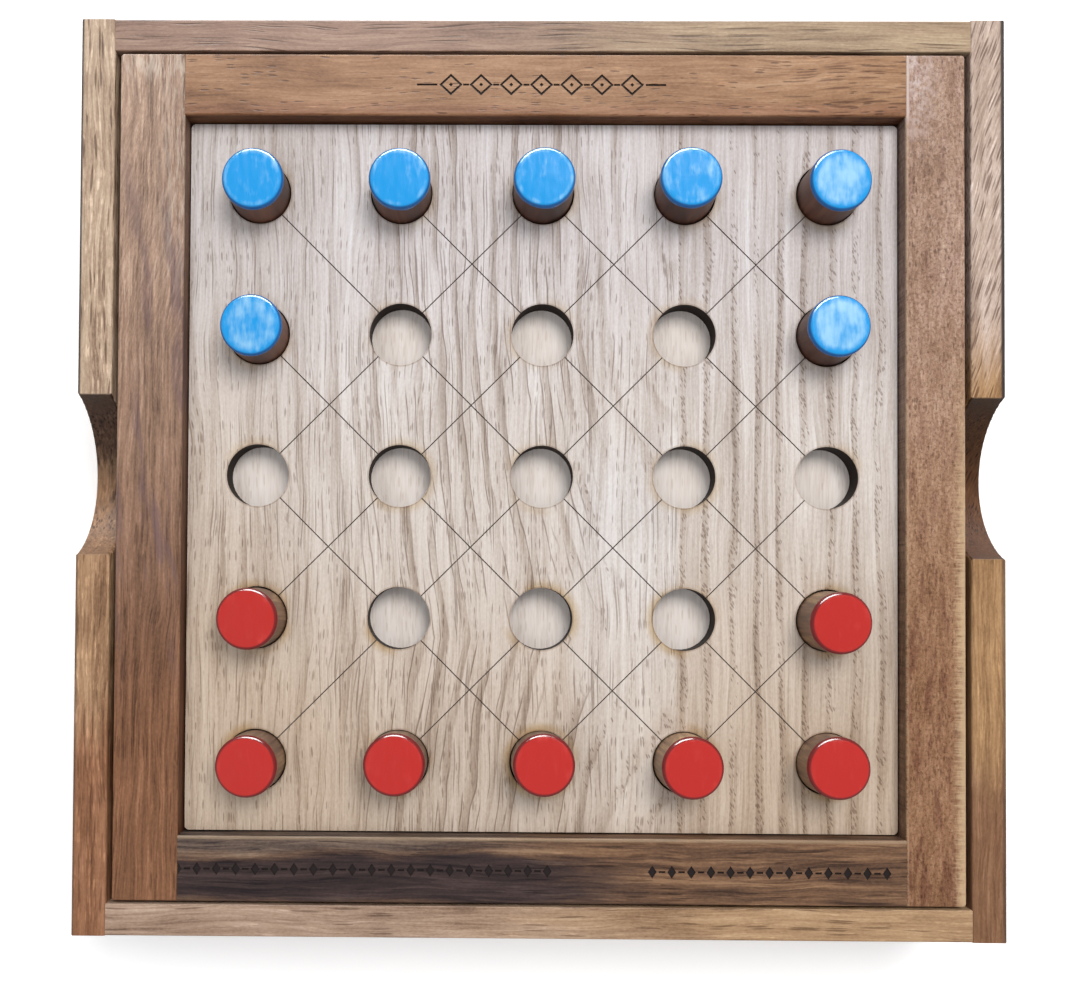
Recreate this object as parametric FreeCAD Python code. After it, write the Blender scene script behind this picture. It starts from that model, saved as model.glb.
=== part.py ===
import FreeCAD, Part
import os
from math import cos, radians, sin
from FreeCAD import Placement, Rotation, Vector

# Wooden board game for two: a shallow open box, a framed playing board that lifts out of it, and
# fourteen loose painted pegs. Millimetres. +X is to the right, +Y to the back and +Z up. The
# origin is the middle of the box's underside.

# Outer box
box_width = 244.6            # along X, over the side walls
box_depth = 242.4            # along Y
box_height = 38.1
side_wall = 9.0              # left and right walls, which cover the ends of the other two
end_wall = 8.4               # back and front walls
bottom_thickness = 4.8
wall_ease = 0.6              # radius sanded on the walls' edges
joint_ease = 0.25            # radius on the edges that meet at a joint

# Finger notches in the side walls: an arc cut down from the top edge
notch_half_width = 21.3
notch_depth = 13.4

# Strips round the inside of the box that the tray rests on
ledge_thickness = 6.5

# Lift-out tray: two long stiles with two rails between them
tray_width = 223.5
tray_depth = 224.0
tray_height = 14.0
left_stile = 17.2
right_stile = 15.5
back_rail = 16.3
front_rail = 17.1
frame_ease = 0.5             # radius along the members' top edges
tray_corner = 0.9            # radius of the tray's upright outer corners

# Playing board, and the thin panel behind it that closes its holes
board_recess = 4.5           # from the frame's top down to the board
board_thickness = 6.2
board_gap = 0.45             # round the board, inside the frame
board_corner = 1.2
panel_lap = 5.0              # how far the backing panel reaches into the frame's rabbet

# Peg holes: a square grid
holes_per_side = 5
pitch = 38.1
hole_radius = 8.35

# Engraved lines between the holes
line_width = 0.3
line_depth = 0.25

# Border marks engraved in the back rail: a chain of open diamonds between two rules
ornament_depth = 0.3
stroke = 0.55                # width of an ornament's lines
diamonds_each_side = 3       # of the middle one
diamond_step = 8.0
diamond_half_width = 3.1
diamond_half_height = 2.9
link_gap = 0.1               # between a short rule and the diamonds that it joins
end_rule = 5.4
end_rule_gap = 0.5           # between an outer diamond and the longer rule beside it

# Border marks engraved in the front rail: strips of small diamonds and dashes
bead_step = 5.1
bead_half_width = 1.15
bead_half_height = 1.7
bead_dash = 1.7
BEAD_STRIPS = [(-96.0, 4.0), (28.0, 93.0)]    # each strip's ends along X

# Pegs
peg_radius = 7.95
peg_length = 16.0
peg_top_round = 1.0
peg_foot_chamfer = 0.4

# Each peg's place in the grid, as (column from the left, row from the back), and how far it
# leans in its loose hole, in whole or half degrees towards +X and towards +Y
BLUE_PEGS = [
    ((0, 0), (0.5, 0.0)), ((1, 0), (1.0, 0.5)), ((2, 0), (-1.0, 2.0)), ((3, 0), (-1.5, 2.5)),
    ((4, 0), (1.5, 0.0)), ((0, 1), (0.0, -0.5)), ((4, 1), (-0.5, 1.0)),
]
RED_PEGS = [
    ((0, 3), (-1.5, -0.5)), ((4, 3), (1.5, -1.5)), ((0, 4), (-1.0, 0.0)), ((1, 4), (-0.5, 3.5)),
    ((2, 4), (1.5, 4.5)), ((3, 4), (2.0, 2.0)), ((4, 4), (-2.0, 3.0)),
]

past = 1.0                   # how far a cutter reaches beyond the surface that it cuts

# Diagonals that the game leaves out, by the cell's (column, row) and the line's direction
LINES_LEFT_OUT = [((0, 0), "rising"), ((0, 3), "falling")]

# Heights and places that follow
tray_bottom = box_height - tray_height
board_top = box_height - board_recess
board_bottom = board_top - board_thickness
panel_thickness = board_bottom - tray_bottom
opening_width = tray_width - left_stile - right_stile
opening_depth = tray_depth - back_rail - front_rail
centre_x = (left_stile - right_stile) / 2     # the opening sits off the tray's own middle,
centre_y = (front_rail - back_rail) / 2       # because its four sides differ in width
inner_x = box_width / 2 - side_wall
inner_y = box_depth / 2 - end_wall
opening_left = centre_x - opening_width / 2
opening_right = centre_x + opening_width / 2
opening_front = centre_y - opening_depth / 2
opening_back = centre_y + opening_depth / 2


def block(low, high):
    """A box between two opposite corners."""
    size = [b - a for a, b in zip(low, high)]
    return Part.makeBox(size[0], size[1], size[2], Vector(*low))


def centred_block(width, depth, bottom, top, x=0.0, y=0.0):
    """A box with the point x, y at the middle of its plan."""
    low = (x - width / 2, y - depth / 2, bottom)
    high = (x + width / 2, y + depth / 2, top)
    return block(low, high)


def ease(shape, radius, wanted):
    """Rounds the edges whose middle and direction the test picks."""
    chosen = []
    for edge in shape.Edges:
        middle = edge.valueAt((edge.FirstParameter + edge.LastParameter) / 2)
        if wanted(edge, middle):
            chosen.append(edge)
    return shape.makeFillet(radius, chosen)


def near(a, b):
    return abs(a - b) < 0.01


def hole_centre(column, row):
    middle = (holes_per_side - 1) / 2
    return Vector(centre_x + (column - middle) * pitch, centre_y + (middle - row) * pitch, 0)


# Box

def side_wall_shape(side):
    """The left (-1) or right (+1) wall, with the finger notch in its top edge."""
    outer, inner = side * box_width / 2, side * inner_x
    wall = block((min(outer, inner), -box_depth / 2, 0), (max(outer, inner), box_depth / 2, box_height))
    radius = (notch_half_width ** 2 + notch_depth ** 2) / (2 * notch_depth)
    centre = Vector(min(outer, inner) - past, 0, box_height - notch_depth + radius)
    wall = wall.cut(Part.makeCylinder(radius, side_wall + 2 * past, centre, Vector(1, 0, 0)))

    def exposed(edge, middle):
        return near(middle.x, outer) or (near(middle.x, inner) and middle.z > box_height / 2)

    return ease(wall, wall_ease, exposed)


def end_wall_shape(side):
    """The front (-1) or back (+1) wall, which fits between the side walls."""
    outer, inner = side * box_depth / 2, side * inner_y
    wall = block((-inner_x, min(outer, inner), 0), (inner_x, max(outer, inner), box_height))
    wall = ease(wall, wall_ease, lambda edge, middle: near(middle.x, 0) and not near(middle.y, inner))
    return ease(wall, joint_ease, lambda edge, middle: near(middle.z, box_height) and near(middle.y, inner))


def bottom_panel():
    return centred_block(2 * inner_x, 2 * inner_y, 0, bottom_thickness)


def side_ledge(side):
    """The strip inside a side wall, as long as the wall's inner face."""
    outer, inner = side * inner_x, side * (inner_x - ledge_thickness)
    return block(
        (min(outer, inner), -inner_y, bottom_thickness),
        (max(outer, inner), inner_y, tray_bottom),
    )


def end_ledge(side):
    """The strip inside the back or front wall, between the other two strips."""
    outer, inner = side * inner_y, side * (inner_y - ledge_thickness)
    reach = inner_x - ledge_thickness
    return block((-reach, min(outer, inner), bottom_thickness), (reach, max(outer, inner), tray_bottom))


# Tray

def backing_panel():
    return centred_block(
        opening_width + 2 * panel_lap, opening_depth + 2 * panel_lap,
        tray_bottom, board_bottom, centre_x, centre_y,
    )


def frame_member(low_x, high_x, low_y, high_y):
    """The blank of a stile or rail, rabbeted underneath for the backing panel."""
    return block((low_x, low_y, tray_bottom), (high_x, high_y, box_height)).cut(backing_panel())


def stile(side):
    """The left (-1) or right (+1) stile, as long as the tray."""
    inner = opening_left if side < 0 else opening_right
    outer = side * tray_width / 2
    member = frame_member(min(inner, outer), max(inner, outer), -tray_depth / 2, tray_depth / 2)

    def outer_corner(edge, middle):
        return near(middle.x, outer) and near(abs(middle.y), tray_depth / 2)

    def top_side(edge, middle):
        return near(middle.z, box_height) and (near(middle.x, inner) or near(middle.x, outer))

    return ease(ease(member, tray_corner, outer_corner), frame_ease, top_side)


def lozenge(x, y, half_width, half_height, depth=ornament_depth):
    """A diamond-shaped prism, to cut an engraved mark down from a rail's top."""
    corners = [(half_width, 0), (0, half_height), (-half_width, 0), (0, -half_height)]
    points = [Vector(x + dx, y + dy, box_height - depth) for dx, dy in corners]
    face = Part.Face(Part.makePolygon(points + points[:1]))
    return face.extrude(Vector(0, 0, depth + past))


def dash(x, y, length):
    """A short bar along X, to cut an engraved rule down from a rail's top."""
    return centred_block(length, stroke, box_height - ornament_depth, box_height + past, x, y)


def lozenge_chain(x, y):
    """Open diamonds joined by short rules, with a longer rule at each end."""
    border = 1.5 * stroke          # the line's width, measured along the diamond's axes
    marks = []
    for number in range(-diamonds_each_side, diamonds_each_side + 1):
        at = x + number * diamond_step
        outer = lozenge(at, y, diamond_half_width, diamond_half_height)
        inner = lozenge(at, y, diamond_half_width - border, diamond_half_height - border, 2 * ornament_depth)
        marks.append(outer.cut(inner))
        marks.append(lozenge(at, y, stroke, stroke))
        if number < diamonds_each_side:
            link = diamond_step - 2 * (diamond_half_width + link_gap)
            marks.append(dash(at + diamond_step / 2, y, link))
    reach = diamonds_each_side * diamond_step + diamond_half_width + end_rule_gap + end_rule / 2
    for side in (-1, 1):
        marks.append(dash(x + side * reach, y, end_rule))
    return marks


def bead_strip(low_x, high_x, y):
    """Small solid diamonds in a row with a short dash between each two."""
    count = int((high_x - low_x) / bead_step)
    start = (low_x + high_x - count * bead_step) / 2
    marks = []
    for number in range(count + 1):
        marks.append(lozenge(start + number * bead_step, y, bead_half_width, bead_half_height))
    for number in range(count):
        marks.append(dash(start + (number + 0.5) * bead_step, y, bead_dash))
    return marks


def rail(side):
    """The front (-1) or back (+1) rail, between the stiles, with its engraved border."""
    inner = opening_front if side < 0 else opening_back
    outer = side * tray_depth / 2
    member = frame_member(opening_left, opening_right, min(inner, outer), max(inner, outer))

    def top_side(edge, middle):
        return near(middle.z, box_height) and (near(middle.y, inner) or near(middle.y, outer))

    member = ease(member, frame_ease, top_side)
    middle = (inner + outer) / 2
    if side > 0:
        marks = lozenge_chain(0.0, middle)
    else:
        marks = []
        for low_x, high_x in BEAD_STRIPS:
            marks += bead_strip(low_x, high_x, middle)
    return member.cut(Part.makeCompound(marks))


def line_cutter(start, end):
    """A thin bar along an engraved line, from the edge of one hole to the edge of the next."""
    along = end - start
    length = along.Length
    bar = centred_block(length, line_width, -line_depth, past, length / 2, 0)
    bar.Placement = Placement(start + Vector(0, 0, board_top), Rotation(Vector(1, 0, 0), along))
    return bar


def line_cutters():
    cutters = []
    for column in range(holes_per_side - 1):
        for row in range(holes_per_side - 1):
            diagonals = {
                "falling": (hole_centre(column, row), hole_centre(column + 1, row + 1)),
                "rising": (hole_centre(column, row + 1), hole_centre(column + 1, row)),
            }
            for direction, (start, end) in diagonals.items():
                if ((column, row), direction) not in LINES_LEFT_OUT:
                    cutters.append(line_cutter(start, end))
    return cutters


def playing_board():
    board = centred_block(
        opening_width - 2 * board_gap, opening_depth - 2 * board_gap,
        board_bottom, board_top, centre_x, centre_y,
    )
    upright = [e for e in board.Edges if near(e.Length, board_thickness)]
    board = board.makeFillet(board_corner, upright)
    holes = []
    for column in range(holes_per_side):
        for row in range(holes_per_side):
            foot = hole_centre(column, row) + Vector(0, 0, board_bottom - past)
            holes.append(Part.makeCylinder(hole_radius, board_thickness + 2 * past, foot))
    board = board.cut(Part.makeCompound(holes))
    lines = line_cutters()
    return board.cut(lines[0].multiFuse(lines[1:]))


# Pegs

def peg(place, lean):
    """A dowel with a rounded top and a chamfered foot, leaning in its hole with its low edge down."""
    dowel = Part.makeCylinder(peg_radius, peg_length)
    rim = [e for e in dowel.Edges if e.Closed and near(e.BoundBox.ZMin, peg_length)]
    dowel = dowel.makeFillet(peg_top_round, rim)
    foot = [e for e in dowel.Edges if e.Closed and near(e.BoundBox.ZMax, 0)]
    dowel = dowel.makeChamfer(peg_foot_chamfer, foot)
    axis = Vector(sin(radians(lean[0])), sin(radians(lean[1])), 0)
    tilt = radians((lean[0] ** 2 + lean[1] ** 2) ** 0.5)
    axis.z = cos(tilt)
    pivot = Vector(0, 0, board_thickness / 2)
    dowel.Placement = Placement(Vector(), Rotation(Vector(0, 0, 1), axis), pivot)
    low_edge = (board_thickness / 2) * (1 - cos(tilt)) - (peg_radius - peg_foot_chamfer) * sin(tilt)
    dowel.translate(hole_centre(*place) + Vector(0, 0, board_bottom - low_edge))
    return dowel


def build():
    nodes = {
        "box_left_wall": side_wall_shape(-1),
        "box_right_wall": side_wall_shape(1),
        "box_back_wall": end_wall_shape(1),
        "box_front_wall": end_wall_shape(-1),
        "box_bottom_panel": bottom_panel(),
        "ledge_left": side_ledge(-1),
        "ledge_right": side_ledge(1),
        "ledge_back": end_ledge(1),
        "ledge_front": end_ledge(-1),
        "tray_left_stile": stile(-1),
        "tray_right_stile": stile(1),
        "tray_back_rail": rail(1),
        "tray_front_rail": rail(-1),
        "playing_board": playing_board(),
        "backing_panel": backing_panel(),
    }
    for colour, pegs in (("blue", BLUE_PEGS), ("red", RED_PEGS)):
        for number, (place, lean) in enumerate(pegs, 1):
            nodes[f"{colour}_peg_{number}"] = peg(place, lean)
    return nodes


os.makedirs("parts", exist_ok=True)
for name, shape in build().items():
    solid = shape.Solids[0]
    solid.exportStep(f"parts/{name}.step")
    print(name, "solids", len(shape.Solids), "valid", solid.isValid(), round(solid.Volume, 1), "mm3")
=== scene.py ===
import math
import random

import bpy
from mathutils import Matrix, Vector, noise


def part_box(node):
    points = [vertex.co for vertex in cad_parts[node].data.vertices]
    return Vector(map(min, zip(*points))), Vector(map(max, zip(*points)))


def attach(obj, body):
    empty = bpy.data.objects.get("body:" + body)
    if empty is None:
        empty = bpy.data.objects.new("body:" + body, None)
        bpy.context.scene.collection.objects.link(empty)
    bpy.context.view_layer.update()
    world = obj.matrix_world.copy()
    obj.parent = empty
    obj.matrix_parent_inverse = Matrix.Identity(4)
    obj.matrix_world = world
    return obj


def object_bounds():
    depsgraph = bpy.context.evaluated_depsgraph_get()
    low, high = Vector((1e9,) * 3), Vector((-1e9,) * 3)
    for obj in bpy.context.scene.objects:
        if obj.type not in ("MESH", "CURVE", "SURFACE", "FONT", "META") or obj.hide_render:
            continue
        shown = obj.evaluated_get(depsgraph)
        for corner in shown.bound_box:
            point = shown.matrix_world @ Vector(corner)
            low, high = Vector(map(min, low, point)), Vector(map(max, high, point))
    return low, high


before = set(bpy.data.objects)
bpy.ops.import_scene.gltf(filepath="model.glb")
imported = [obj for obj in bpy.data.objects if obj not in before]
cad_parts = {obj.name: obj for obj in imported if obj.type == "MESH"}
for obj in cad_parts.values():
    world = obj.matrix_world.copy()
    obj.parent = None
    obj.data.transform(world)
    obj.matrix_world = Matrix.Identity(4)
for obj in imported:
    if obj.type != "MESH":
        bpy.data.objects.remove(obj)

# The looks of a boxed wooden peg game: solid woods for the box and the tray's frame, an
# oak-veneered playing board, a pale backing panel seen in the empty holes, and dowel pegs with
# painted tops. Blender's unit is the metre; the materials work in millimetres of the part's frame,
# with x to the right, y to the back and z up. Colours are linear.

cad_low, cad_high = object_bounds()
MM = 0.001

board_low, board_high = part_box("playing_board")
front_rail_low, front_rail_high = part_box("tray_front_rail")
right_stile_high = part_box("tray_right_stile")[1]
wall_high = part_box("box_right_wall")[1]
board_top = board_high.z / MM
frame_top = front_rail_high.z / MM

# Sizes in millimetres
PITCH = 38.1             # between hole centres
HOLE_RADIUS = 8.35
NOTCH_HALF_WIDTH = 21.3
NOTCH_DEPTH = 13.4
TOP_ROUND = 1.0          # radius of a peg's top edge
SKIN = 0.10              # thickness of the paint on a peg's top
SWELL = 0.24             # how much higher the paint stands in the middle of a top

# Rings and points of the mesh of a painted top
AROUND = 96
TOP_RINGS = 16
EDGE_RINGS = 9
SIDE_RINGS = 6
PAST_RIM = 1.2           # "reach" of the paint on a peg's side, beyond any on its top

SCORCHED = (0.016, 0.011, 0.010)


# Node building

class Material:
    """A material's node tree, with short calls for the nodes that the woods and paints share. A
    mask is a value between nothing and one; lengths are in millimetres."""

    def __init__(self, name):
        self.material = bpy.data.materials.new(name)
        self.material.use_nodes = True
        self.tree = self.material.node_tree
        self.shader = self.tree.nodes["Principled BSDF"]

    def node(self, kind, **settings):
        made = self.tree.nodes.new(kind)
        for key, value in settings.items():
            setattr(made, key, value)
        return made

    def feed(self, socket, value):
        """Links a node's output to a socket, or gives the socket a plain value."""
        if isinstance(value, bpy.types.NodeSocket):
            self.tree.links.new(value, socket)
        else:
            socket.default_value = value

    def finished(self, colour, rough, normal, specular=0.5):
        """Feeds the shader and gives the material back."""
        self.feed(self.shader.inputs["Base Color"], colour)
        self.feed(self.shader.inputs["Roughness"], rough)
        self.feed(self.shader.inputs["Normal"], normal)
        self.shader.inputs["Specular IOR Level"].default_value = specular
        return self.material

    # Sums

    def math(self, operation, a, b=0.0, clamp=False):
        made = self.node("ShaderNodeMath", operation=operation, use_clamp=clamp)
        self.feed(made.inputs[0], a)
        self.feed(made.inputs[1], b)
        return made.outputs[0]

    def plus(self, first, *others, clamp=False):
        """The sum of two or more values, held between 0 and 1 if clamp is set."""
        for other in others[:-1]:
            first = self.math("ADD", first, other)
        return self.math("ADD", first, others[-1], clamp)

    def minus(self, a, b, clamp=False):
        return self.math("SUBTRACT", a, b, clamp)

    def times(self, first, *others):
        """The product of two or more values; of masks, where all of them say."""
        for other in others:
            first = self.math("MULTIPLY", first, other)
        return first

    def over(self, a, b):
        return self.math("DIVIDE", a, b)

    def larger(self, a, b):
        return self.math("MAXIMUM", a, b)

    def absolute(self, a):
        return self.math("ABSOLUTE", a)

    def diagonal(self, a, b):
        """The length of a step that goes a along one axis and b along another."""
        return self.math("SQRT", self.plus(self.times(a, a), self.times(b, b)))

    def spread(self, value, low, high, to_low=0.0, to_high=1.0):
        """Maps a range of values smoothly onto another, held at both ends."""
        made = self.node("ShaderNodeMapRange", interpolation_type="SMOOTHSTEP")
        made.clamp = True
        for socket, given in zip(made.inputs[:5], (value, low, high, to_low, to_high)):
            self.feed(socket, given)
        return made.outputs[0]

    def swing(self, value, gain):
        """A noise about one half, turned into a swing about zero."""
        return self.times(self.minus(value, 0.5), gain)

    def mix_value(self, factor, a, b):
        made = self.node("ShaderNodeMix", data_type="FLOAT")
        for socket, value in zip((made.inputs[0], made.inputs[2], made.inputs[3]), (factor, a, b)):
            self.feed(socket, value)
        return made.outputs[0]

    # Places and patterns

    def vector(self, x, y, z):
        made = self.node("ShaderNodeCombineXYZ")
        for socket, value in zip(made.inputs, (x, y, z)):
            self.feed(socket, value)
        return made.outputs[0]

    def apart(self, vector):
        """A vector's x, y and z."""
        made = self.node("ShaderNodeSeparateXYZ")
        self.feed(made.inputs[0], vector)
        return made.outputs

    def place(self):
        """The part's own x, y and z in millimetres."""
        scaled = self.node("ShaderNodeVectorMath", operation="SCALE")
        self.feed(scaled.inputs[0], self.node("ShaderNodeTexCoord").outputs["Object"])
        scaled.inputs["Scale"].default_value = 1 / MM
        return self.apart(scaled.outputs[0])

    def facing(self):
        """The way a face looks, along the part's own x, y and z."""
        turned = self.node("ShaderNodeVectorTransform", vector_type="NORMAL",
                           convert_from="WORLD", convert_to="OBJECT")
        self.feed(turned.inputs[0], self.node("ShaderNodeNewGeometry").outputs["Normal"])
        return self.apart(turned.outputs[0])

    def noise(self, vector, detail=2.0, roughness=0.5):
        made = self.node("ShaderNodeTexNoise")
        self.feed(made.inputs["Vector"], vector)
        made.inputs["Scale"].default_value = 1.0
        made.inputs["Detail"].default_value = detail
        made.inputs["Roughness"].default_value = roughness
        return made.outputs["Fac"]

    def patches(self, place, sizes, detail=2.0, roughness=0.5, layer=None):
        """Noise in patches of the given sizes along x, y and z. With a layer, a number that picks
        the pattern, it has only x and y and is the same at every height."""
        scaled = [self.over(along, size) for along, size in zip(place, sizes)]
        if layer is not None:
            scaled.append(layer)
        return self.noise(self.vector(*scaled), detail, roughness)

    def cells(self, vector):
        """Distance to the nearest of scattered points, and that point's random number."""
        made = self.node("ShaderNodeTexVoronoi")
        self.feed(made.inputs["Vector"], vector)
        made.inputs["Scale"].default_value = 1.0
        channels = self.node("ShaderNodeSeparateColor")
        self.feed(channels.inputs[0], made.outputs["Color"])
        return made.outputs["Distance"], channels.outputs[0]

    # Colours and relief

    def ramp(self, value, *stops):
        made = self.node("ShaderNodeValToRGB")
        self.feed(made.inputs[0], value)
        row = made.color_ramp.elements
        row[0].position, row[0].color = stops[0][0], (*stops[0][1], 1)
        row[1].position, row[1].color = stops[-1][0], (*stops[-1][1], 1)
        for place, colour in stops[1:-1]:
            row.new(place).color = (*colour, 1)
        return made.outputs[0]

    def mix(self, factor, a, b, blend="MIX"):
        made = self.node("ShaderNodeMix", data_type="RGBA", blend_type=blend)
        for socket, value in ((made.inputs[0], factor), (made.inputs[6], a), (made.inputs[7], b)):
            if isinstance(value, tuple):
                value = (*value, 1)
            self.feed(socket, value)
        return made.outputs[2]

    def multiplied(self, colour, gain):
        return self.mix(1.0, colour, gain, "MULTIPLY")

    def tint(self, colour, mask, gain):
        """Multiplies a colour by another where the mask says."""
        return self.mix(mask, colour, self.multiplied(colour, gain))

    def bump(self, height, distance, strength):
        made = self.node("ShaderNodeBump")
        made.inputs["Strength"].default_value = strength
        made.inputs["Distance"].default_value = distance * MM
        self.feed(made.inputs["Height"], height)
        return made.outputs[0]


class Grain:
    """The part's own coordinates, turned to run along a piece's grain and bent a little. sway is
    how far it bends to and fro. The patterns' lengths and widths are the marks' own, and each
    takes a shift, a number that keeps it from lining up with the others."""

    def __init__(self, m, axis, seed, sway=5.0):
        self.m, self.seed = m, seed
        self.x, self.y, self.z = m.place()
        self.along, across = (self.x, self.y) if axis == "X" else (self.y, self.x)
        bend = m.noise(m.vector(m.over(self.along, 45), m.over(across, 14), seed), 2)
        self.across = m.plus(across, m.swing(bend, sway))
        self.leaning = self.along

    def stretched(self, length, width, shift, lean):
        """The place, counted in marks along and across the grain."""
        m = self.m
        across = m.plus(self.across, m.times(self.leaning, lean)) if lean else self.across
        return m.vector(
            m.plus(m.over(self.along, length), self.seed + shift),
            m.plus(m.over(across, width), self.seed * 1.7 + shift),
            m.over(self.z, width),
        )

    def noise(self, length, width, shift, detail=3.0, roughness=0.6, lean=0.0):
        """Noise drawn out along the grain."""
        return self.m.noise(self.stretched(length, width, shift, lean), detail, roughness)

    def cells(self, length, width, shift, lean=0.0):
        """Needle-shaped cells along the grain: the distance to a cell's middle and its own number."""
        return self.m.cells(self.stretched(length, width, shift, lean))

    def marks(self, length, width, shift, share, lean=0.0):
        """Short crisp marks in a share of the cells, closer together in some bands than in others."""
        m = self.m
        away, number = self.cells(length, width, shift, lean)
        crowd = m.swing(self.noise(26, 3.4, shift + 4.4, 2.0), 0.8)
        held = m.spread(m.plus(number, crowd), 1.0 - share, 1.06 - share)
        return m.times(held, m.spread(away, 0.52, 0.30))


# Woods, panel, paint and floor

def wood(name, axis, seed, colours, figure=(40, 3.0, 1.2), fibre=(10, 0.5, 0.8),
         pores=(4.5, 0.6, 0.16, 0.6), flecks=(4.0, 0.6, 0.10, 0.4), lean=0.0, calm=None,
         stain=None, framed=None):
    """Solid wood with its grain along an axis, in colours from the darkest to the palest. figure
    and fibre are a noise's length, width and gain; pores and flecks are the dark and the pale
    marks' length and width, the share of places that hold one, and strength; lean is the marks'
    own slope across the grain; calm is the stretch of y over which the pores fade towards the
    front, to the share given last, and in front of whose back end the marks no longer lean; stain
    adds a piece's own stains and wear, and on the side walls painted shade as well; framed
    multiplies the colour of upright faces, just under the frame's top and below."""
    m = Material(name)
    grain = Grain(m, axis, seed)
    if calm:
        grain.leaning = m.larger(grain.along, calm[1])

    length, width, gain = figure
    broad = grain.noise(length, width, 0.0, 4, 0.55)
    mottle, speck = grain.noise(30, 14, 5.3), grain.noise(1.1, 0.5, 17.1, 2.0, 0.7)
    tone = m.plus(0.5, m.swing(broad, gain), m.swing(mottle, 0.8), m.swing(speck, 0.6))
    length, width, gain = fibre
    fine = m.plus(m.times(grain.noise(length, width, 9.7, lean=lean), 0.65),
                  m.times(grain.cells(length, width, 12.9, lean)[1], 0.35))
    tone = m.plus(tone, m.swing(fine, gain), clamp=True)
    colour = m.ramp(tone, *[(number / (len(colours) - 1), shade) for number, shade in enumerate(colours)])

    length, width, share, strength = pores
    pore = grain.marks(length, width, 21.3, share, lean)
    if calm:
        pore = m.times(pore, m.spread(grain.y, calm[0], calm[1], calm[2], 1.0))
    dark_pore = m.times(pore, strength)
    length, width, share, strength = flecks
    pale_fleck = m.times(grain.marks(length, width, 33.9, share, lean), strength)
    colour = m.tint(colour, pale_fleck, (1.5, 1.55, 1.6))
    colour = m.tint(colour, dark_pore, (0.26, 0.19, 0.16))

    # end grain, where a face looks along the fibres, is plainer
    facing_x, facing_y, facing_up = m.facing()
    end_grain = m.spread(m.absolute(facing_x if axis == "X" else facing_y), 0.7, 0.9)
    colour = m.mix(m.times(end_grain, 0.65), colour, colours[1])
    if stain:
        colour = stain(m, grain, colour)
    if framed:
        upright = m.times(m.spread(facing_up, 0.6, 0.3),
                          m.spread(grain.z, frame_top - 0.35, frame_top - 0.9))
        colour = m.tint(colour, upright, framed)
        # the scorched floors of the engraved ornament, a little under the frame's top
        cut = m.times(m.spread(grain.z, frame_top - 0.12, frame_top - 0.2), m.spread(facing_up, 0.8, 0.95),
                      m.spread(grain.z, frame_top - 0.8, frame_top - 0.6))
        colour = m.mix(cut, colour, SCORCHED)
    relief = m.bump(m.minus(m.times(fine, 0.5), pore), 0.08, 0.5)
    return m.finished(colour, m.spread(broad, 0.2, 0.8, 0.44, 0.62), relief, 0.16)


def scorched_rims(m, x, y, width):
    """One close round the holes, falling to nothing the given width away from them."""
    steps = []
    for place, low, high in ((x, board_low.x, board_high.x), (y, board_low.y, board_high.y)):
        centre = (low + high) / 2 / MM
        cell = m.math("FRACT", m.plus(m.over(m.minus(place, centre), PITCH), 0.5))
        steps.append(m.times(m.minus(cell, 0.5), PITCH))
    return m.spread(m.diagonal(*steps), HOLE_RADIUS + width, HOLE_RADIUS + 0.2)


def growth_rings(m, grain, seam_x, away, right):
    """The board's growth rings, counted outwards. In the left sheet they go round a trunk whose
    middle lies under the seam and dips towards both ends; in the right sheet they are straight."""
    trunk_depth, dip = 34.0, 0.28
    left_width, right_width = 5.4, 6.6
    sideways = m.minus(grain.across, seam_x)
    depth = m.minus(trunk_depth, m.times(away, dip))
    wave = m.plus(m.swing(grain.noise(40, 9, 8.1, 2), 0.65), m.swing(grain.noise(16, 3, 18.1, 1), 0.13))
    left_rings = m.plus(m.over(m.diagonal(sideways, depth), left_width), wave)
    right_rings = m.plus(m.over(sideways, right_width), m.times(wave, 0.35))
    return m.mix_value(right, left_rings, right_rings)


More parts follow.
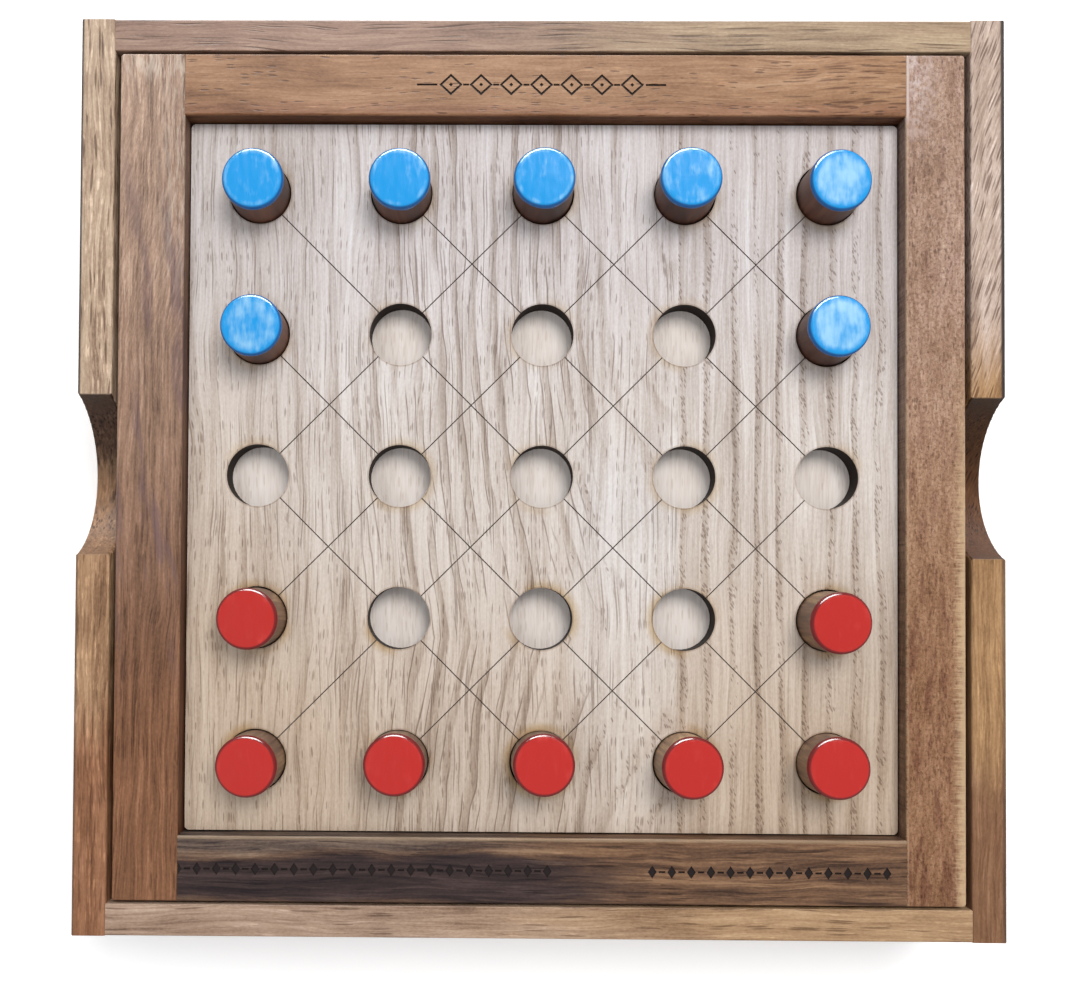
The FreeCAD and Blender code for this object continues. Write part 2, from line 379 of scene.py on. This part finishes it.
def oak_board():
    """The playing board's two sheets of veneer: wavy lines that draw together into a flame beside
    the seam, and straight columns of short leaning stitches to the right of it."""
    m = Material("oak_veneer_board")
    grain = Grain(m, "Y", 3.3)
    x, y, z = grain.x, grain.y, grain.z
    seam_x, flame_y = 37.2, -43.0
    right = m.math("GREATER_THAN", x, seam_x)
    left = m.minus(1.0, right)
    away = m.absolute(m.minus(y, flame_y))
    middle = m.times(m.spread(x, -62, -30), m.spread(x, 24, 8))
    flame = m.times(m.spread(grain.across, 5, 15), left, m.spread(away, 66, 34))

    # each ring's early wood, which is strong in some rings and missing in others
    rings = growth_rings(m, grain, seam_x, away, right)
    phase, number = m.math("FRACT", rings), m.math("FLOOR", rings)
    own = m.noise(m.vector(m.times(number, 7.31), m.over(y, 38), 2.2), 1.0)
    early = m.times(m.spread(phase, 0.0, 0.10), m.spread(phase, 0.46, 0.12))
    column = m.times(early, m.spread(own, 0.22, 0.42), right, m.spread(y, 45, 75, 1.0, 0.55))
    early = m.times(early, m.spread(own, 0.32, 0.60))

    # thin dark lines, up to three to a ring
    thirds = m.times(rings, 3.0)
    part, number = m.math("FRACT", thirds), m.math("FLOOR", thirds)
    own = m.noise(m.vector(m.times(number, 5.77), m.over(y, 19), 4.4), 1.5)
    line = m.times(m.spread(part, 0.0, 0.06), m.spread(part, 0.26, 0.10),
                   m.spread(m.plus(own, m.times(early, 0.14)), 0.46, 0.60))
    line = m.times(line, m.spread(x, 20, 8, 0.0, m.spread(middle, 0, 1, 0.5, 1.0)))

    # ground colour
    broad = grain.noise(70, 7, 1.1, 3, 0.55)
    streak = grain.noise(60, 1.3, 2.9, 2, 0.5)
    fine = grain.noise(28, 0.45, 5.7, 3, 0.6)
    fibre = grain.cells(16, 0.4, 15.7)[1]
    speck = grain.noise(1.1, 0.5, 25.3, 2, 0.7)
    tone = m.minus(m.minus(0.61, m.times(right, 0.05)), m.times(column, 0.12))
    for layer, gain in ((broad, 0.6), (streak, 0.45), (fine, 0.45), (fibre, 0.16), (speck, 0.40)):
        tone = m.plus(tone, m.swing(layer, gain))
    tone = m.minus(tone, m.times(early, m.spread(middle, 0, 1, 0.17, 0.34)), clamp=True)
    colour = m.ramp(
        tone, (0.0, (0.250, 0.195, 0.160)), (0.35, (0.430, 0.360, 0.312)),
        (0.65, (0.590, 0.530, 0.490)), (1.0, (0.730, 0.690, 0.660)),
    )
    colour = m.tint(colour, m.times(flame, 0.8), (1.05, 1.10, 1.17))
    colour = m.tint(colour, m.spread(y, 0, 70), (0.96, 0.985, 1.06))

    # pores: lines along the rings in the middle, short dashes elsewhere, stitches at the right
    dash = m.larger(grain.marks(3.5, 0.45, 31.7, 0.16), grain.marks(22, 0.45, 36.1, 0.20))
    dash = m.times(dash, m.mix_value(right, 0.75, 0.20))
    inside = m.larger(column, m.times(early, flame, 0.6))
    spot, chance = grain.cells(1.6, 0.55, 41.9, 0.40)
    stitch = m.times(m.spread(spot, 0.50, 0.32), m.spread(m.plus(chance, inside), 1.0, 1.1), 0.78)
    pore = m.larger(m.larger(line, dash), stitch)
    colour = m.tint(colour, m.times(pore, 0.80), (0.36, 0.29, 0.25))

    # warmer towards the front and the left edge, and a faint scorch round some of the holes
    left_edge = m.times(m.spread(x, -50, -92, 0.0, 0.42), m.spread(y, 70, 10))
    front = m.times(m.spread(y, 15, -85), m.spread(m.absolute(x), 20, 60, 0.72, 1.0))
    colour = m.tint(colour, m.plus(front, left_edge, clamp=True), (0.87, 0.765, 0.64))
    back_left = m.times(m.spread(x, -30, -80), m.spread(y, 30, 70))
    colour = m.tint(colour, back_left, (0.94, 0.925, 0.90))
    patchy = m.spread(m.patches((x, y), (16, 16), 1, layer=6.6), 0.42, 0.6)
    halo = m.times(scorched_rims(m, x, y, 3.0), patchy, m.spread(y, 20, -60, 0.5, 1.0))
    colour = m.tint(colour, halo, (0.78, 0.66, 0.46))

    # dark rims of the holes, grooves of the engraved lines, and the holes' walls
    colour = m.tint(colour, m.times(scorched_rims(m, x, y, 0.5), 0.5), (0.55, 0.46, 0.38))
    colour = m.mix(m.spread(z, board_top - 0.05, board_top - 0.12), colour, (0.085, 0.066, 0.056))
    colour = m.mix(m.spread(z, board_top - 0.28, board_top - 0.5), colour, (0.016, 0.009, 0.006))
    relief = m.bump(m.minus(m.times(fine, 0.4), pore), 0.06, 0.45)
    return m.finished(colour, m.spread(broad, 0.2, 0.8, 0.52, 0.66), relief, 0.12)


def pale_panel():
    """The backing panel and the box's bottom: pale wood with short fine flecks."""
    m = Material("pale_panel_wood")
    grain = Grain(m, "Y", 6.1, sway=2.0)
    fine = grain.noise(7, 0.6, 1.3)
    broad = grain.noise(30, 5, 4.2)
    tone = m.plus(0.5, m.swing(fine, 0.9), m.swing(broad, 0.8), clamp=True)
    colour = m.ramp(tone, (0.0, (0.50, 0.41, 0.35)), (0.5, (0.71, 0.635, 0.585)), (1.0, (0.82, 0.775, 0.74)))
    fleck = grain.marks(4, 0.6, 9.9, 0.25)
    colour = m.tint(colour, m.times(fleck, 0.4), (0.70, 0.62, 0.55))
    return m.finished(colour, m.spread(broad, 0.2, 0.8, 0.6, 0.75), m.bump(fine, 0.04, 0.4))


def dowel_wood(name, gain):
    """The pegs' bare sides: brown hardwood with its grain along the peg, multiplied by a colour that
    makes lit and shaded copies of it, painted light and painted shade.
    """
    m = Material(name)
    place = m.place()
    fibre = m.patches(place, (0.8, 0.8, 12), 3, 0.6)
    broad = m.patches(place, (9, 9, 30))
    tone = m.plus(0.5, m.swing(fibre, 1.4), m.swing(broad, 1.6), clamp=True)
    colour = m.ramp(tone, (0.0, (0.035, 0.018, 0.012)), (0.5, (0.118, 0.062, 0.038)),
                    (1.0, (0.25, 0.155, 0.085)))
    colour = m.multiplied(colour, gain)
    return m.finished(colour, m.spread(fibre, 0.3, 0.7, 0.45, 0.6), m.bump(fibre, 0.08, 0.5))


def paint(name, colour, thin, rough, rim, ring, washed=0.0):
    """Glossy brushed paint, paler where it is thin, with painted shade past the rim, which is given as
    a share of the radius, on the rounded edge and the side that turn away from the light. ring is how
    much paler it is just inside the rim, partly paler paint and partly a painted reflection; washed
    is how much paler the middle of the pegs to the right and in the second row is, a painted
    reflection of the bright sky, and these have no such ring."""
    m = Material(name)
    x, y, z = m.place()
    strokes = m.patches((x, y, z), (1.2, 4.5, 3), 3)
    pool = m.patches((x, y, z), (5, 5, 5))
    reach = m.node("ShaderNodeAttribute", attribute_name="reach").outputs["Fac"]
    # a paler ring just inside the rim: partly paler paint and partly a painted reflection
    pale_rim_and_sheen = m.times(m.spread(reach, 0.74, 0.86), m.spread(reach, 0.95, 0.90))
    # painted reflection: paler middles on the pegs to the right and in the second row
    wash = m.times(m.larger(m.spread(x, 20, 75), m.spread(y, 62, 50, 0.0, 0.7)), washed)
    amount = m.plus(
        m.swing(strokes, 1.1), m.swing(pool, 1.3), m.times(wash, m.spread(reach, 0.96, 0.68)),
        m.times(pale_rim_and_sheen, m.minus(1.0, wash), ring),
    )
    shade = m.mix(m.spread(amount, 0.10, 1.10), colour, thin)
    # painted shade past the rim, on the rounded edge and the side
    shade = m.tint(shade, m.spread(reach, rim, rim + 0.05), (0.36, 0.34, 0.46))
    relief = m.bump(m.plus(strokes, pool), 0.14, 0.6)
    return m.finished(shade, m.spread(strokes, 0.3, 0.7, rough, rough + 0.12), relief)


def plain_floor():
    """A pale floor that glows a little, so that it is as white as the air over it."""
    m = Material("studio_floor")
    x, y, z = m.place()
    speck = m.patches((x, y), (90, 90), layer=0.5)
    m.feed(m.shader.inputs["Base Color"], m.ramp(speck, (0.3, (0.88, 0.88, 0.88)), (0.7, (0.9, 0.9, 0.9))))
    m.shader.inputs["Roughness"].default_value = 0.9
    m.shader.inputs["Emission Color"].default_value = (1, 1, 1, 1)
    m.shader.inputs["Emission Strength"].default_value = 0.25
    return m.material


# Stains and wear of the single pieces, and painted shade on the side walls

def on_top(m, grain):
    """One on the frame's top faces, nothing down its sides."""
    return m.spread(grain.z, frame_top - 1.4, frame_top - 0.5)


def left_stile_stain(m, grain, colour):
    """Greyer and paler at the back, reddish brown at the front, with dusky slanting streaks."""
    x, y = grain.x, grain.y
    colour = m.tint(colour, m.spread(y, -60, 85), (1.88, 2.55, 3.20))
    colour = m.tint(colour, m.spread(y, -20, -80), (1.00, 0.91, 0.79))
    dusky = m.times(m.spread(grain.noise(42, 6, 41.0, lean=0.12), 0.53, 0.66),
                    m.spread(y, -70, -10), m.spread(y, 95, 60), 0.62)
    colour = m.mix(dusky, colour, (0.135, 0.082, 0.088))

    # pale wear by the board at the back, and on the back end
    inner = m.times(m.spread(x, -104, -96), m.spread(y, 40, 75), 0.7)
    end = m.spread(y, 103.0, 108.0)
    pale = m.times(m.spread(grain.noise(5, 0.7, 45.0), 0.42, 0.62), m.larger(inner, end),
                   on_top(m, grain), 0.62)
    colour = m.mix(pale, colour, (0.60, 0.50, 0.41))
    slant = m.spread(grain.noise(9, 0.6, 49.0, lean=-0.30), 0.40, 0.60)
    return m.tint(colour, m.times(slant, m.spread(y, 0, 40), 0.45), (0.60, 0.52, 0.50))


def right_stile_stain(m, grain, colour):
    """Greyish and speckled, with a pale washed corner and joint at the back, and a worn pale edge
    at its outer side."""
    x, y = grain.x, grain.y
    outer = right_stile_high.x / MM - 0.05
    joint_x = outer - 15.0           # where the back rail meets it
    colour = m.tint(colour, m.spread(y, -60, 80), (1.16, 1.40, 1.95))
    speck = m.patches((x, y), (0.7, 0.8), 3, 0.8, layer=7.0)
    colour = m.tint(colour, m.spread(speck, 0.52, 0.64), (0.60, 0.52, 0.53))
    colour = m.tint(colour, m.times(m.spread(speck, 0.47, 0.36), 0.8), (1.30, 1.30, 1.34))
    blotch = m.spread(m.patches((x, y), (2.6, 16), 4, 0.65, layer=13.0), 0.47, 0.62)
    colour = m.tint(colour, m.times(blotch, m.spread(y, 20, -40, 0.5, 1.0)), (0.70, 0.60, 0.62))
    colour = m.tint(colour, m.spread(y, 10, -70), (0.88, 0.85, 0.87))

    patch = m.spread(m.patches((x, y), (2.2, 2.8), 3, 0.7, layer=3.0), 0.36, 0.66)
    corner = m.times(m.spread(x, 107, 99), m.spread(y, 80, 106), patch, 0.75)
    joint = m.times(m.spread(x, joint_x + 0.7, joint_x), m.spread(y, 92, 97, 0.0, 0.8))
    colour = m.mix(m.times(m.larger(corner, joint), on_top(m, grain)), colour, (0.58, 0.47, 0.44))

    ticks = m.patches((x, y), (6, 0.6), 2, 0.6, layer=9.0)
    rim = m.times(m.spread(m.plus(x, m.swing(ticks, 5.5)), outer - 3.6, outer - 0.4), m.spread(y, 45, -25))
    scuffed = m.times(m.spread(x, joint_x + 0.4, joint_x - 0.3), m.spread(speck, 0.42, 0.56), 0.6)
    worn = m.times(m.larger(rim, scuffed), on_top(m, grain), 0.6)
    return m.mix(worn, colour, (0.62, 0.45, 0.27))


def front_rail_stain(m, grain, colour):
    """A dark purple-grey heart band on the left, and a paler band and arris along the inner edge."""
    low, high = front_rail_low.y / MM, front_rail_high.y / MM
    edge = m.plus(grain.y, m.swing(grain.noise(38, 9, 43.0), 8.0))
    band = m.times(m.spread(edge, high - 4.0, high - 6.5), m.spread(edge, low - 1.0, low + 2.0, 0.5, 1.0))
    fade = m.spread(m.plus(grain.x, m.swing(grain.noise(20, 3, 47.0), 50.0)), 42, -5)
    heart = m.mix(0.65, (0.020, 0.013, 0.016), m.multiplied(colour, (0.27, 0.32, 0.56)))
    colour = m.mix(m.times(band, fade, 0.94), colour, heart)
    strip = m.times(m.spread(edge, high - 6.0, high - 3.0), m.spread(grain.x, 20, -40))
    colour = m.tint(colour, strip, (0.88, 1.14, 1.55))
    arris = m.times(m.spread(grain.y, high - 1.1, high - 0.5),
                    m.spread(grain.z, frame_top - 0.6, frame_top - 0.3), 0.45)
    return m.mix(arris, colour, (0.42, 0.30, 0.19))


def back_rail_stain(m, grain, colour):
    """Deeper in colour to the left, dark streaks at the right end, and a pinkish darker band
    along the inner edge."""
    inner = m.spread(m.plus(grain.y, m.swing(grain.noise(30, 5, 3.0), 4.0)), 100.0, 97.5)
    colour = m.tint(colour, m.spread(grain.x, 20, -60, 0.5, 1.0), (0.90, 0.85, 0.82))
    streaks = m.times(grain.marks(9, 0.6, 71.0, 0.50), m.spread(grain.x, 45, 75), 0.85)
    colour = m.tint(colour, streaks, (0.42, 0.34, 0.32))
    return m.tint(colour, m.times(inner, 0.7), (0.84, 0.74, 0.76))


def side_wall_stain_and_shade(pale, middle, warm, notch, turns, side, edge_shade_width):
    """A side wall that is pale at the back, plainer between the two turns and reddish brown in
    front of them. Its notch faces are darker, by their own tone and, in their back half, which faces
    away from the light, by painted shade; a dark line of painted shade, of the given width, lies
    along the rounded outer edge, stronger in its back half. side is -1 for the left wall, 1 for the
    right one."""
    front_turn, back_turn = turns
    arc_radius = (NOTCH_HALF_WIDTH ** 2 + NOTCH_DEPTH ** 2) / (2 * NOTCH_DEPTH)
    arc_centre = wall_high.z / MM - NOTCH_DEPTH + arc_radius
    edge_shade_start = wall_high.x / MM - edge_shade_width

    def stain(m, grain, colour):
        y, z = grain.y, grain.z
        wander = m.plus(y, m.swing(grain.noise(30, 3, 51.0, 2), 22))
        shade = m.mix(m.spread(wander, back_turn - 14, back_turn + 14), middle, pale)
        shade = m.mix(m.spread(wander, front_turn - 14, front_turn + 8), warm, shade)
        colour = m.multiplied(colour, shade)
        from_arc_centre = m.diagonal(y, m.minus(z, arc_centre))
        in_notch = m.times(m.spread(from_arc_centre, arc_radius + 0.4, arc_radius + 0.15),
                           m.spread(z, frame_top - 0.1, frame_top - 0.5))
        # the notch faces take notch, their own darker tone; their back half, which faces away from the
        # light, is darker still: painted shade
        cloud = m.plus(y, m.swing(grain.noise(5, 2, 55.0), 14))
        dusk = m.mix(m.spread(cloud, -8, 12), notch, (0.160, 0.122, 0.110))
        colour = m.tint(colour, in_notch, dusk)
        # painted shade: a dark line along the rounded outer edge, stronger towards the back
        outwards = m.times(grain.x, float(side))
        line = m.times(m.spread(outwards, edge_shade_start - 0.3, edge_shade_start + 0.3),
                       m.spread(z, frame_top - 0.75, frame_top - 0.35), m.spread(y, 0, 20, 0.50, 0.96))
        return m.mix(line, colour, (0.032, 0.024, 0.021))
    return stain


def end_wall_stain(left, right):
    """An end wall whose shade changes from its left to its right end."""
    def stain(m, grain, colour):
        wander = m.plus(grain.x, m.swing(grain.noise(40, 4, 61.0, 2), 60))
        return m.multiplied(colour, m.mix(m.spread(wander, -40, 60), left, right))
    return stain


def box_looks():
    """The materials of the box's walls and ledges."""
    tan = ((0.165, 0.098, 0.060), (0.290, 0.190, 0.118), (0.400, 0.278, 0.180), (0.52, 0.385, 0.27))
    pink_tan = ((0.138, 0.080, 0.060), (0.238, 0.148, 0.108), (0.320, 0.210, 0.155), (0.42, 0.292, 0.222))
    # notch is the notch faces' own darker tone, and the last number the width of the painted shade along the
    # outer edge
    left_stain_and_shade = side_wall_stain_and_shade(
        pale=(1.19, 1.25, 1.36), middle=(0.93, 0.79, 0.67), warm=(0.66, 0.435, 0.335),
        notch=(0.76, 0.68, 0.60), turns=(-62, 2), side=-1, edge_shade_width=0.7)
    right_stain_and_shade = side_wall_stain_and_shade(
        pale=(1.17, 1.28, 1.61), middle=(0.94, 0.78, 0.57), warm=(0.54, 0.388, 0.312),
        notch=(0.30, 0.205, 0.155), turns=(-73, 34), side=1, edge_shade_width=1.15)
    looks = {
        "box_back_wall": wood(
            "wall_wood_back", "X", 2.1, pink_tan, pores=(16, 0.5, 0.30, 0.7), fibre=(12, 0.5, 0.9),
            stain=end_wall_stain((0.96, 0.92, 0.91), (1.12, 1.22, 1.06))),
        "box_front_wall": wood(
            "wall_wood_front", "X", 7.7, tan, pores=(10, 0.6, 0.20, 0.6), fibre=(12, 0.5, 0.8),
            stain=end_wall_stain((1.0, 1.0, 1.12), (1.04, 0.95, 0.82))),
        "box_left_wall": wood(
            "wall_wood_left", "Y", 4.9, tan, pores=(9, 0.7, 0.30, 0.75), flecks=(4, 0.7, 0.34, 0.7),
            fibre=(9, 0.6, 1.3), calm=(-30, -10, 0.65), stain=left_stain_and_shade),
        "box_right_wall": wood(
            "wall_wood_right", "Y", 12.3, tan, pores=(7, 0.6, 0.48, 0.7), flecks=(6, 0.6, 0.22, 0.55),
            fibre=(8, 0.45, 0.95), lean=-0.32, calm=(-30, -10, 0.22), stain=right_stain_and_shade),
    }
    ledge = wood("ledge_wood", "X", 33.1, tan)
    for name in ("ledge_left", "ledge_right", "ledge_back", "ledge_front"):
        looks[name] = ledge
    return looks


def tray_looks():
    """The materials of the tray's frame and board, and of the two pale panels."""
    orange = ((0.125, 0.058, 0.028), (0.245, 0.124, 0.060), (0.340, 0.190, 0.102), (0.44, 0.27, 0.16))
    red_brown = ((0.070, 0.032, 0.018), (0.150, 0.072, 0.040), (0.225, 0.110, 0.063), (0.32, 0.175, 0.105))
    grey_brown = ((0.050, 0.026, 0.017), (0.110, 0.058, 0.034), (0.180, 0.095, 0.052), (0.27, 0.155, 0.085))
    dark_side = (0.50, 0.44, 0.42)
    pale = pale_panel()
    return {
        "tray_back_rail": wood(
            "frame_wood_back", "X", 15.1, orange, figure=(30, 4, 1.6), fibre=(12, 0.5, 0.7),
            pores=(3.5, 0.5, 0.16, 0.7), stain=back_rail_stain, framed=dark_side),
        "tray_front_rail": wood(
            "frame_wood_front", "X", 19.7, grey_brown, figure=(50, 2.0, 2.0), fibre=(9, 0.45, 1.1),
            pores=(9, 0.6, 0.20, 0.6), stain=front_rail_stain, framed=(0.8, 0.8, 0.8)),
        "tray_left_stile": wood(
            "frame_wood_left", "Y", 23.9, red_brown, figure=(38, 2.0, 1.3), fibre=(14, 0.5, 0.9),
            pores=(7, 0.6, 0.20, 0.45), lean=-0.03, stain=left_stile_stain, framed=dark_side),
        "tray_right_stile": wood(
            "frame_wood_right", "Y", 28.3, orange, figure=(26, 3.5, 0.7), fibre=(1.6, 0.6, 0.8),
            pores=(1.8, 0.6, 0.16, 0.5), stain=right_stile_stain, framed=(0.62, 0.66, 0.72)),
        "playing_board": oak_board(),
        "backing_panel": pale,
        "box_bottom_panel": pale,
    }


def peg_looks():
    """The materials of the pegs' dowels, lit and shaded copies of one wood: painted shade under blue
    paint, whose sides in view face away from the light, painted light under red, whose sides in view
    face it, and more painted light on one.
    """
    # painted shade: the sides of the blue pegs in view face away from the light
    dusky = dowel_wood("dowel_wood_painted_shade", (0.64, 0.42, 0.40))
    # painted light: the sides of the red pegs in view face the light
    plain = dowel_wood("dowel_wood", (1.5, 1.5, 1.35))
    looks = {}
    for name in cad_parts:
        if "_peg_" in name:
            looks[name] = dusky if name.startswith("blue") else plain
    # painted light: red_peg_6's side in view is lighter still
    looks["red_peg_6"] = dowel_wood("dowel_wood_painted_light", (2.7, 3.0, 2.6))
    return looks


def dress_nodes():
    """Gives every CAD node its material."""
    for name, material in {**box_looks(), **tray_looks(), **peg_looks()}.items():
        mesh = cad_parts[name].data
        mesh.materials.clear()
        mesh.materials.append(material)


# Painted peg tops

def peg_axis(node):
    """The middle of a peg's foot and the peg's direction, from its flat foot's faces."""
    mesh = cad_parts[node].data
    middle, normal, area = Vector(), Vector(), 0.0
    for face in mesh.polygons:
        if face.normal.z < -0.95:
            middle += face.center * face.area
            normal += face.normal * face.area
            area += face.area
    return middle / area, -normal.normalized()


def paint_skin(radius, drop, seed, lumps):
    """The points of a skin of paint over a dowel's rounded end and a little way down its side,
    ring by ring from the middle outwards, in metres from the middle of that end, and each point's
    reach: its distance from the axis as a share of the radius. drop is how far the skin runs down,
    and lumps how much its top rises and falls."""
    skin, swell = SKIN * MM, SWELL * MM
    edge = TOP_ROUND * MM + skin
    flat = radius + skin - edge
    profile = [(flat * step / TOP_RINGS, skin) for step in range(1, TOP_RINGS + 1)]
    for step in range(1, EDGE_RINGS + 1):
        angle = math.pi / 2 * step / EDGE_RINGS
        profile.append((flat + edge * math.sin(angle), skin - edge * (1 - math.cos(angle))))

    turns = [2 * math.pi * number / AROUND for number in range(AROUND)]
    points, reach = [(0, 0, skin + swell)], [0.0]
    for out, height in profile:
        height += swell * (1 - (out / (radius + skin)) ** 2)
        for turn in turns:
            x, y = out * math.cos(turn), out * math.sin(turn)
            lump = lumps * noise.noise(Vector((x / (1.6 * MM), y / (4 * MM), seed)))
            points.append((x, y, height + lump * (1 if out <= flat else 0.4)))
            reach.append(out / radius)
    for step in range(1, SIDE_RINGS + 1):
        share = step / SIDE_RINGS
        out = radius + skin * (1 - 0.8 * share ** 3)
        for turn in turns:
            x, y = math.cos(turn), math.sin(turn)
            ragged = drop * (1 + 0.45 * noise.noise(Vector((2 * x, 2 * y, seed))))
            points.append((out * x, out * y, skin - edge - max(ragged - edge, 0.15 * MM) * share))
            reach.append(PAST_RIM)
    return points, reach


def painted_top(node, material, lumps, rng):
    """A skin of paint over a peg's top, which rides on the peg."""
    foot, axis = peg_axis(node)
    dowel = [vertex.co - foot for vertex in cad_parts[node].data.vertices]
    length = max(point.dot(axis) for point in dowel)
    radius = max((point - axis * point.dot(axis)).length for point in dowel)
    drop = rng.uniform(1.2, 2.0) * MM
    points, reach = paint_skin(radius, drop, rng.uniform(0, 90), lumps * MM)
    faces = [(0, 1 + number, 1 + (number + 1) % AROUND) for number in range(AROUND)]
    for ring in range(TOP_RINGS + EDGE_RINGS + SIDE_RINGS - 1):
        low, high = 1 + ring * AROUND, 1 + (ring + 1) * AROUND
        for number in range(AROUND):
            after = (number + 1) % AROUND
            faces.append((low + number, high + number, high + after, low + after))

    shape = bpy.data.meshes.new(node + "_paint")
    shape.from_pydata(points, [], faces)
    shape.polygons.foreach_set("use_smooth", [True] * len(shape.polygons))
    shape.attributes.new("reach", "FLOAT", "POINT").data.foreach_set("value", reach)
    turn = Vector((0, 0, 1)).rotation_difference(axis).to_matrix().to_4x4()
    shape.transform(Matrix.Translation(foot + axis * length) @ turn)
    shape.materials.append(material)
    piece = bpy.data.objects.new(node + "_paint", shape)
    bpy.context.scene.collection.objects.link(piece)
    thickness = piece.modifiers.new("skin", "SOLIDIFY")
    thickness.thickness = 0.08 * MM
    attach(piece, node)


def paint_tops():
    rng = random.Random(7)
    # ring is partly a painted reflection, rim is where the painted shade begins, and washed is a painted
    # reflection
    blue = paint("blue_paint", (0.002, 0.280, 0.68), (0.28, 0.55, 0.78), rough=0.15, rim=0.925, ring=0.36,
                 washed=0.80)
    red = paint("red_paint", (0.46, 0.014, 0.009), (0.56, 0.040, 0.032), rough=0.12, rim=0.895, ring=0.15)
    for node in sorted(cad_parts):
        if node.startswith("blue_peg_"):
            painted_top(node, blue, 0.055, rng)
        elif node.startswith("red_peg_"):
            painted_top(node, red, 0.025, rng)


# Studio

def add_light(name, place, size, power, colour=(1, 1, 1), glint=False):
    """A soft light aimed at the board. A glint only shows as a reflection in gloss; any other
    light lights the piece without one."""
    data = bpy.data.lights.new(name, "AREA")
    data.shape = "ELLIPSE"
    data.size, data.size_y = size
    data.energy, data.color = power, colour
    light = bpy.data.objects.new(name, data)
    aim = Vector((0, 0, board_high.z)) - Vector(place)
    light.location = place
    light.rotation_euler = aim.to_track_quat("-Z", "Y").to_euler()
    light.visible_glossy, light.visible_diffuse = glint, not glint
    bpy.context.scene.collection.objects.link(light)


def studio():
    """The floor, the air and the lights."""
    half, gap = 3.0, 0.0002
    floor = bpy.data.meshes.new("floor")
    corners = [(-half, -half, 0), (half, -half, 0), (half, half, 0), (-half, half, 0)]
    floor.from_pydata(corners, [], [(0, 1, 2, 3)])
    floor.materials.append(plain_floor())
    stage = bpy.data.objects.new("floor", floor)
    bpy.context.scene.collection.objects.link(stage)
    stage.location.z = cad_low.z - gap

    world = bpy.data.worlds.new("studio")
    bpy.context.scene.world = world
    world.use_nodes = True
    background = world.node_tree.nodes["Background"]
    background.inputs["Color"].default_value = (0.95, 0.97, 1.0, 1)
    background.inputs["Strength"].default_value = 0.62
    add_light("key", (0.36, 0.60, 1.15), (0.75, 0.75), 13.0, (1.0, 0.985, 0.96))
    add_light("fill", (-0.7, -0.3, 1.2), (1.0, 1.0), 2.0)
    add_light("glint", (-0.12, 1.25, 0.64), (1.2, 0.80), 80.0, glint=True)


def camera():
    """Straight above the board, a little to the left and the front of its middle."""
    data = bpy.data.cameras.new("camera")
    data.sensor_width = 36.0
    data.lens = 32.0
    data.shift_x = 0.0551
    data.shift_y = 0.0649
    view = bpy.data.objects.new("camera", data)
    height_over_board = 0.2547
    place = Vector((-0.01478, -0.02853, board_high.z + height_over_board))
    tip, lean, roll = -0.0155, -0.0068, -0.0058      # radians about X, Y and Z
    turn = Matrix.Rotation(roll, 4, "Z") @ Matrix.Rotation(tip, 4, "X") @ Matrix.Rotation(lean, 4, "Y")
    view.matrix_world = Matrix.Translation(place) @ turn.inverted()
    bpy.context.scene.collection.objects.link(view)
    bpy.context.scene.camera = view


camera()
studio()
dress_nodes()
paint_tops()
bpy.context.scene.view_settings.view_transform = "Standard"
